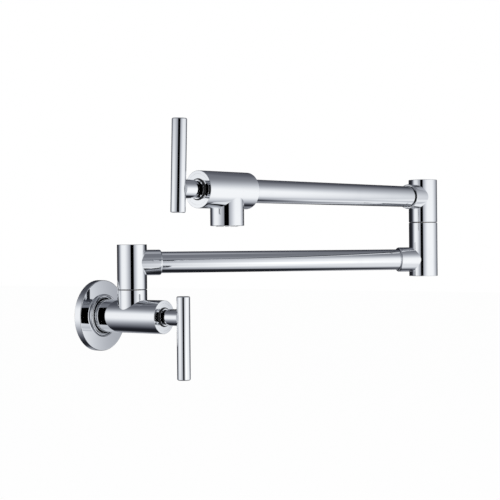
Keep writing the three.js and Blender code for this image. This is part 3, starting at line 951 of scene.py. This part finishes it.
def addBar(name, place, body):
    low, high = -bar["shortEnd"], bar["length"] - bar["shortEnd"]
    radius, chamfer, endEdge, sideEdge = bar["radius"], bar["chamfer"], bar["endEdge"], bar["sideEdge"]
    outline = [
        (0, low), (radius - chamfer, low, endEdge), (radius, low + chamfer, sideEdge),
        (radius, -bar["ring"], 0), (radius, bar["ring"], 0),
        (radius, high - chamfer, sideEdge), (radius - chamfer, high, endEdge), (0, high),
    ]
    shape = shifted(alongY(turned(outline)), 0, 0, bar["stand"])
    shape = carved(shape, rod(hub["peg"] + bar["pegGap"], 0, hub["pegEnd"] + bar["pegGap"]))
    axes = [((0, 0, bar["stand"]), (0, 1, 0))]
    settle(shape, name + "Bar", place, body, "chrome", [name + "_handle_bar"], axes)


def addGrub(name, place, body):
    high = grub["high"]
    blank = rod(grub["radius"], grub["low"], high, turning["small"], grub["edge"])
    key = rod(grub["key"], high - grub["keyDepth"], high + past, turning["key"])
    shape = shifted(alongMinusY(carved(blank, key)), 0, 0, grub["height"])
    settle(shape, name + "Grub", place, body, "steel", [name + "_handle_screw"])


handleTurns = {"base": 180, "spout": -2}
for name, place in valveFrames.items():
    still, swinging = bodies[name]
    turnedPlace = place @ Matrix.Rotation(math.radians(handleTurns[name]), 4, "Z")
    addBonnet(name, place, still)
    addWiper(name, place, still)
    addStem(name, turnedPlace, swinging)
    addHub(name, turnedPlace, swinging)
    addBar(name, turnedPlace, swinging)
    addGrub(name, turnedPlace, swinging)
print("valves and levers made")

rimFrame = level((outletMiddle.x, outletMiddle.y, outletRim), upperAhead)
shell = {
    "radius": 11.05, "edge": 0.35, "bore": 9.3, "lipBore": 8.6, "lip": 1.4, "height": 9, "sunk": 0.2,
}


def addShell():
    radius, bore, lipBore = shell["radius"], shell["bore"], shell["lipBore"]
    low, high = shell["sunk"], shell["sunk"] + shell["height"]
    outline = [
        (lipBore, low), (radius, low, shell["edge"]), (radius, high), (bore, high),
        (bore, low + shell["lip"]), (lipBore, low + shell["lip"]),
    ]
    settle(turned(outline), "aeratorShell", rimFrame, "upper_arm", "chrome", ["aerator_shell"])


insert = {
    "radius": 8.3, "rim": 1.1, "rimEdge": 0.2, "soft": 0.1, "proud": 0.6, "face": 0.3,
    "shoulder": 9, "low": 1.9, "top": 5.3,
}
cells = {"radius": 0.82, "pitch": 2.15, "rings": 3, "sides": 12, "middle": 2.4, "depth": 8}
notch = {"count": 12, "long": 3, "wide": 1.1, "deep": 0.7, "inset": 0.2}


# a plug with rings of round cells in its face and a notched rim
def addInsert():
    radius, shoulder, proud, face = insert["radius"], insert["shoulder"], insert["proud"], insert["face"]
    edge, inside, low, top = insert["rimEdge"], radius - insert["rim"], insert["low"], insert["top"]
    plug = turned([
        (0, face), (inside, face, insert["soft"]), (inside, -proud, edge), (radius, -proud, edge),
        (radius, low, 0), (shoulder, low, 0), (shoulder, top), (0, top),
    ], turning["bore"], insert["soft"])
    holes = bmesh.new()
    for circle in range(cells["rings"] + 1):
        reach = circle * cells["pitch"]
        count = max(1, 6 * circle)
        for index in range(count):
            angle = 2 * math.pi * index / count
            x, y = reach * math.cos(angle), reach * math.sin(angle)
            bmesh.ops.create_cone(
                holes, cap_ends=True, segments=cells["sides"], radius1=cells["radius"],
                radius2=cells["radius"], depth=cells["depth"],
                matrix=Matrix.Translation((x, y, cells["middle"])),
            )
    notches = bmesh.new()
    size = Matrix.Diagonal((notch["long"], notch["wide"], 2 * notch["deep"], 1))
    for index in range(notch["count"]):
        turn = Matrix.Rotation(2 * math.pi * index / notch["count"], 4, "Z")
        place = turn @ Matrix.Translation((radius - notch["inset"], 0, -proud)) @ size
        bmesh.ops.create_cube(notches, size=1, matrix=place)
    shape = carved(plug, holes, notches)
    settle(shape, "aeratorInsert", rimFrame, "upper_arm", "nylon", ["aerator_insert"])


addShell()
addInsert()
print("aerator made")

# CAD pieces that stay get finishes too
slots = {part["node"]: part["material_slot"] for part in frame["record"]["subparts"]}
for nodeName, node in frame["nodes"].items():
    if not node.hide_render:
        node.data.materials.clear()
        # the cartridge housing takes the stem's painted shade
        if nodeName.endswith("cartridge_housing"):
            finish = stemFinish
        # the swivel washers take the painted seam shade
        elif nodeName.endswith("swivel_washer"):
            finish = washerFinish
        else:
            finish = finishes[slots[nodeName]]
        node.data.materials.append(finish)
print("finishes given to the inner pieces")

studio = {
    "floorLevel": -0.26,
    "floorSize": 14,
    "floorColour": (0.9, 0.9, 0.905),
    "floorMottle": (0.93, 0.93, 0.935),
    "floorGrain": (30, 3),
    "floorWhite": 0.95,  # how far the camera sees the floor as plain white
    "world": 0.8,
    "lamp": 9,  # watts
    "lampSize": 1.6,
    "lampPlace": (-0.9, -0.5, 1.7),
}
rayKinds = ("Camera", "Glossy", "Transmission")


def seen(graph):
    path = graph.tree.nodes.new("ShaderNodeLightPath")
    camera, glossy, through = (Wire(graph, path.outputs[f"Is {kind} Ray"]) for kind in rayKinds)
    return camera + glossy + through


def addFloor():
    mesh = bmesh.new()
    bmesh.ops.create_grid(mesh, x_segments=1, y_segments=1, size=studio["floorSize"] / 2)
    moved(mesh, Matrix.Translation((0, 0, studio["floorLevel"])))
    floor = looseObject(mesh)
    floor.name = "floor"
    material, graph, where = newMaterial("palePaint")
    grain = graph.noise(where, *studio["floorGrain"])
    colour = graph.mixed(grain, studio["floorColour"], studio["floorMottle"])
    paint = graph.add("ShaderNodeBsdfDiffuse", {}, {"Color": colour})
    glow = graph.add("ShaderNodeEmission", {}, {"Color": (1, 1, 1, 1), "Strength": 1.0})
    share = seen(graph) * studio["floorWhite"]
    blend = graph.add("ShaderNodeMixShader", {}, {0: share, 1: paint, 2: glow})
    graph.add("ShaderNodeOutputMaterial", {}, {"Surface": blend})
    floor.data.materials.append(material)
    floor.visible_glossy = False


# painted reflections: a glowing sphere round the object that shows only in reflections, painted with a grey
# surround, broad soft panels and a black slit for the lens, all given by degrees round from the lens (+ is the
# camera's right) and degrees above the level. Each rises from its first angle to its second and falls from its
# third to its fourth
reflectionTent = {
    "middle": (0.026, -0.139, 0.055),
    "radius": 0.5,
    "cuts": (96, 48),
    "front": 0.45,  # painted grey in front, as it shows reflected in polished chrome
    "gamma": 2.2,
    "mirror": 0.885,  # the share of the light that the chrome gives back
    "frontRound": (-125, -85, 115, 150),
    "behind": [(-90, 0.14), (5, 0.14), (38, 0.3), (55, 0.38), (66, 0.6), (90, 0.62)],  # grey by rise
    "slit": (-18.5, -16.5, 8, 10),
    "slitHeight": (-60, -56, 50, 54),
    "tints": [
        (0.15, (0.93, 1, 1.3)), (0.5, (0.955, 1, 1.12)), (0.8, (0.97, 1, 1.055)),
        (0.97, (0.99, 1, 1.01)),
    ],  # by grey
}
# painted panels of light added to the reflected grey; the card puts a painted highlight on the base valve body's
# face
reflectionPanels = {
    "right": {"round": (-20, 55, 85, 148), "rise": (-75, -25, 0, 62), "grey": 0.51},
    "left": {"round": (-142, -76, -65, 5), "rise": (-48, -10, 4, 36), "grey": 0.49},
    "bounce": {"round": (-10, 15, 95, 135), "rise": (-88, -72, -60, -35), "grey": 0.26},
    "fill": {"round": (-5, 15, 35, 62), "rise": (-75, -45, -18, -4), "grey": 0.13},
    "card": {"round": (106, 111, 112, 118), "rise": (-24, -15, -7, -2), "grey": 0.14},
    "rearLeft": {"round": (-178, -165, -128, -112), "rise": (-44, -34, -22, -14), "grey": 0.42},
    "rearRight": {"round": (112, 128, 165, 178), "rise": (-44, -34, -22, -14), "grey": 0.42},
}


def band(graph, angle, stops):
    start, full, last, end = stops
    return graph.ranged(angle, start, full) * graph.ranged(angle, last, end, 1, 0)


def addPaintedReflections():
    mesh = bmesh.new()
    around, above = reflectionTent["cuts"]
    bmesh.ops.create_uvsphere(mesh, u_segments=around, v_segments=above, radius=reflectionTent["radius"])
    moved(mesh, Matrix.Translation(reflectionTent["middle"]))
    reflectionGlow = looseObject(mesh)
    reflectionGlow.name = "reflectionTent"
    material, graph, where = newMaterial("paintedReflections")
    lens = math.atan2(-shot["ahead"][1], -shot["ahead"][0])
    away = graph.add("ShaderNodeVectorMath", {"operation": "SUBTRACT"}, {0: where, 1: reflectionTent["middle"]})
    spun = graph.add("ShaderNodeMapping", {}, {"Vector": away, "Rotation": (0, 0, -lens)})
    parts = graph.add("ShaderNodeSeparateXYZ", {}, {"Vector": spun})
    x, y, z = (Wire(graph, parts.socket.node.outputs[axis]) for axis in "XYZ")
    turn = y.math("ARCTAN2", x) * math.degrees(1)
    rise = z.math("ARCTAN2", (x * x + y * y).math("SQRT")) * math.degrees(1)
    front = band(graph, turn, reflectionTent["frontRound"])
    heights = [((angle + 90) / 180, shade) for angle, shade in reflectionTent["behind"]]
    behind = graph.add("ShaderNodeValToRGB", {"stops": heights}, {0: rise * (1 / 180) + 0.5})
    grey = front * reflectionTent["front"] + (1 - front) * behind
    for panel in reflectionPanels.values():
        shape = band(graph, turn, panel["round"]) * band(graph, rise, panel["rise"])
        grey = grey + shape * panel["grey"]
    # a black painted reflection of the lens opening
    slit = band(graph, turn, reflectionTent["slit"]) * band(graph, rise, reflectionTent["slitHeight"])
    grey = grey * (1 - slit)
    share = grey.math("POWER", reflectionTent["gamma"]) * (1 / reflectionTent["mirror"])
    tint = graph.add("ShaderNodeValToRGB", {"stops": reflectionTent["tints"]}, {0: grey})
    light = graph.add("ShaderNodeVectorMath", {"operation": "SCALE"}, {0: tint, "Scale": share})
    glow = graph.add("ShaderNodeEmission", {}, {"Color": light, "Strength": 1.0})
    graph.add("ShaderNodeOutputMaterial", {}, {"Surface": glow})
    reflectionGlow.data.materials.append(material)
    # the sphere shows only in reflections: it lights nothing and casts no shadow
    reflectionGlow.visible_camera = False
    reflectionGlow.visible_diffuse = False
    reflectionGlow.visible_shadow = False


def addWorld():
    world = bpy.data.worlds.new("studio")
    bpy.context.scene.world = world
    world.use_nodes = True
    graph = Graph(world.node_tree)
    soft = graph.add("ShaderNodeBackground", {}, {"Color": (1, 1, 1, 1), "Strength": studio["world"]})
    white = graph.add("ShaderNodeBackground", {}, {"Color": (1, 1, 1, 1), "Strength": 1.0})
    blend = graph.add("ShaderNodeMixShader", {}, {0: seen(graph), 1: soft, 2: white})
    graph.add("ShaderNodeOutputWorld", {}, {"Surface": blend})


def addLamp():
    data = bpy.data.lights.new("softBox", "AREA")
    data.shape = "DISK"
    data.size = studio["lampSize"]
    data.energy = studio["lamp"]
    lamp = bpy.data.objects.new("softBox", data)
    place = Vector(studio["lampPlace"])
    turn = place.to_track_quat("Z", "Y").to_matrix().to_4x4()
    lamp.matrix_world = Matrix.Translation(place) @ turn
    lamp.visible_glossy = False
    lamp.visible_camera = False
    bpy.context.scene.collection.objects.link(lamp)


addFloor()
addPaintedReflections()
addWorld()
addLamp()
bpy.context.scene.view_settings.view_transform = "Standard"
print("studio set")
